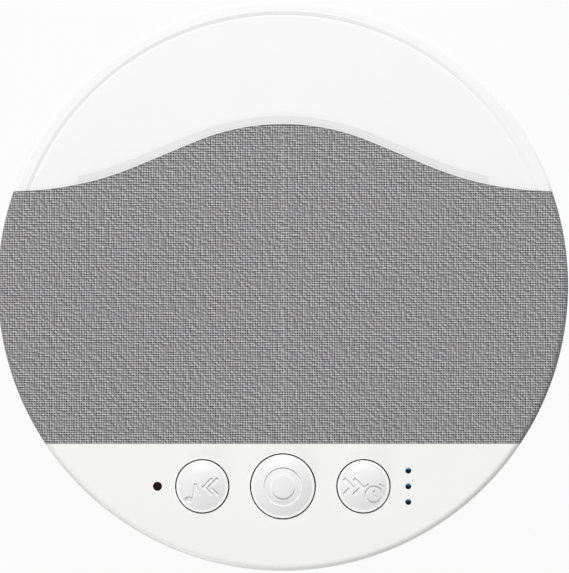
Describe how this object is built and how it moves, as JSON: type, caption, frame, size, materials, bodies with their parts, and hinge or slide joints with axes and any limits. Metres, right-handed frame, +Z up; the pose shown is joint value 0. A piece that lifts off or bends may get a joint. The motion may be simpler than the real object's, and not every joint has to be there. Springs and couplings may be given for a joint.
{
  "type": "white noise machine",
  "caption": "Round flat bedside white noise speaker with woven top, milky night light crescent and a front panel of push buttons",
  "frame": {"origin": "middle of the plane of the rubber feet", "axes": "+Z up, +Y to the night light at the rear, -Y to the buttons at the front, +X to the right of a user at the front"},
  "size_m": [0.12, 0.12, 0.0475],
  "materials": {
    "white_case": "fine satin moulding",
    "white_buttons": "satin gloss moulding",
    "button_carrier": "black moulding",
    "opal_cover": "glossy milky acrylic",
    "frosted_strip": "frosted",
    "woven_cover": "plain woven polyester",
    "grille_plastic": "moulded",
    "foot_rubber": "matt",
    "zinc_steel": "zinc plated",
    "circuit_board": "solder mask",
    "chip_resin": "moulded",
    "connector_nylon": "moulded",
    "lamp_resin": "clear over phosphor",
    "red_lens": "smoked red, clear",
    "blue_lens": "blue, clear",
    "speaker_frame": "black enamel",
    "ferrite": "sintered",
    "cone_paper": "pressed paper",
    "surround_rubber": "matt",
    "spider_cloth": "resin-dipped cotton",
    "coil_copper": "enamelled wire",
    "gasket_foam": "foam",
    "battery_wrap": "shrink film",
    "lead_sleeve": "smooth",
    "ribbon_film": "film",
    "nickel_strip": "plated"
  },
  "bodies": {
    "housing": {"amplifier_chip": "chip_resin", "base_shell": "white_case", "battery_cell": "battery_wrap", "battery_contacts": "nickel_strip", "battery_leads": "lead_sleeve", "board_capacitors": "chip_resin", "board_connectors": "connector_nylon", "board_screws": "zinc_steel", "case_screws": "zinc_steel", "charge_lamp": "lamp_resin", "charge_leads": "lead_sleeve", "charge_light_lens": "red_lens", "charge_port_board": "circuit_board", "charge_port_shell": "nickel_strip", "charge_port_tongue": "chip_resin", "control_board": "circuit_board", "control_chip": "chip_resin", "control_ribbon": "ribbon_film", "grille_cloth": "woven_cover", "grille_panel": "grille_plastic", "light_leads": "lead_sleeve", "main_board": "circuit_board", "night_light_board": "circuit_board", "night_light_lamps": "lamp_resin", "night_light_lens": "opal_cover", "night_light_strip": "frosted_strip", "rubber_feet": "foot_rubber", "speaker_basket": "speaker_frame", "speaker_gasket": "gasket_foam", "speaker_leads": "lead_sleeve", "speaker_magnet": "ferrite", "speaker_screws": "zinc_steel", "speaker_spider": "spider_cloth", "speaker_surround": "surround_rubber", "speaker_terminals": "circuit_board", "speaker_top_plate": "zinc_steel", "speaker_yoke": "zinc_steel", "switch_bodies": "chip_resin", "timer_lamps": "lamp_resin", "timer_light_lenses": "blue_lens", "upper_housing": "white_case"},
    "power_button": {"power_button_cap": "white_buttons", "power_button_carrier": "button_carrier", "power_switch_plunger": "connector_nylon"},
    "previous_button": {"previous_button_cap": "white_buttons", "previous_button_carrier": "button_carrier", "previous_switch_plunger": "connector_nylon"},
    "next_button": {"next_button_cap": "white_buttons", "next_button_carrier": "button_carrier", "next_switch_plunger": "connector_nylon"},
    "cone_assembly": {"speaker_cone": "cone_paper", "dust_cap": "cone_paper", "voice_coil": "coil_copper"}
  },
  "joints": [
    {"name": "power_button_press", "type": "slide", "parent": "housing", "child": "power_button", "axis": [0, 0, -1], "range_m": [0, 0.0005], "stiffness_N_per_m": 1500, "springref_m": -0.0004},
    {"name": "previous_button_press", "type": "slide", "parent": "housing", "child": "previous_button", "axis": [0, 0, -1], "range_m": [0, 0.0005], "stiffness_N_per_m": 1500, "springref_m": -0.0004},
    {"name": "next_button_press", "type": "slide", "parent": "housing", "child": "next_button", "axis": [0, 0, -1], "range_m": [0, 0.0005], "stiffness_N_per_m": 1500, "springref_m": -0.0004},
    {"name": "cone_stroke", "type": "slide", "parent": "housing", "child": "cone_assembly", "axis": [0, 0, 1], "range_m": [-0.0012, 0.0012], "stiffness_N_per_m": 900, "deforming": ["speaker_surround", "speaker_spider"]}
  ]
}
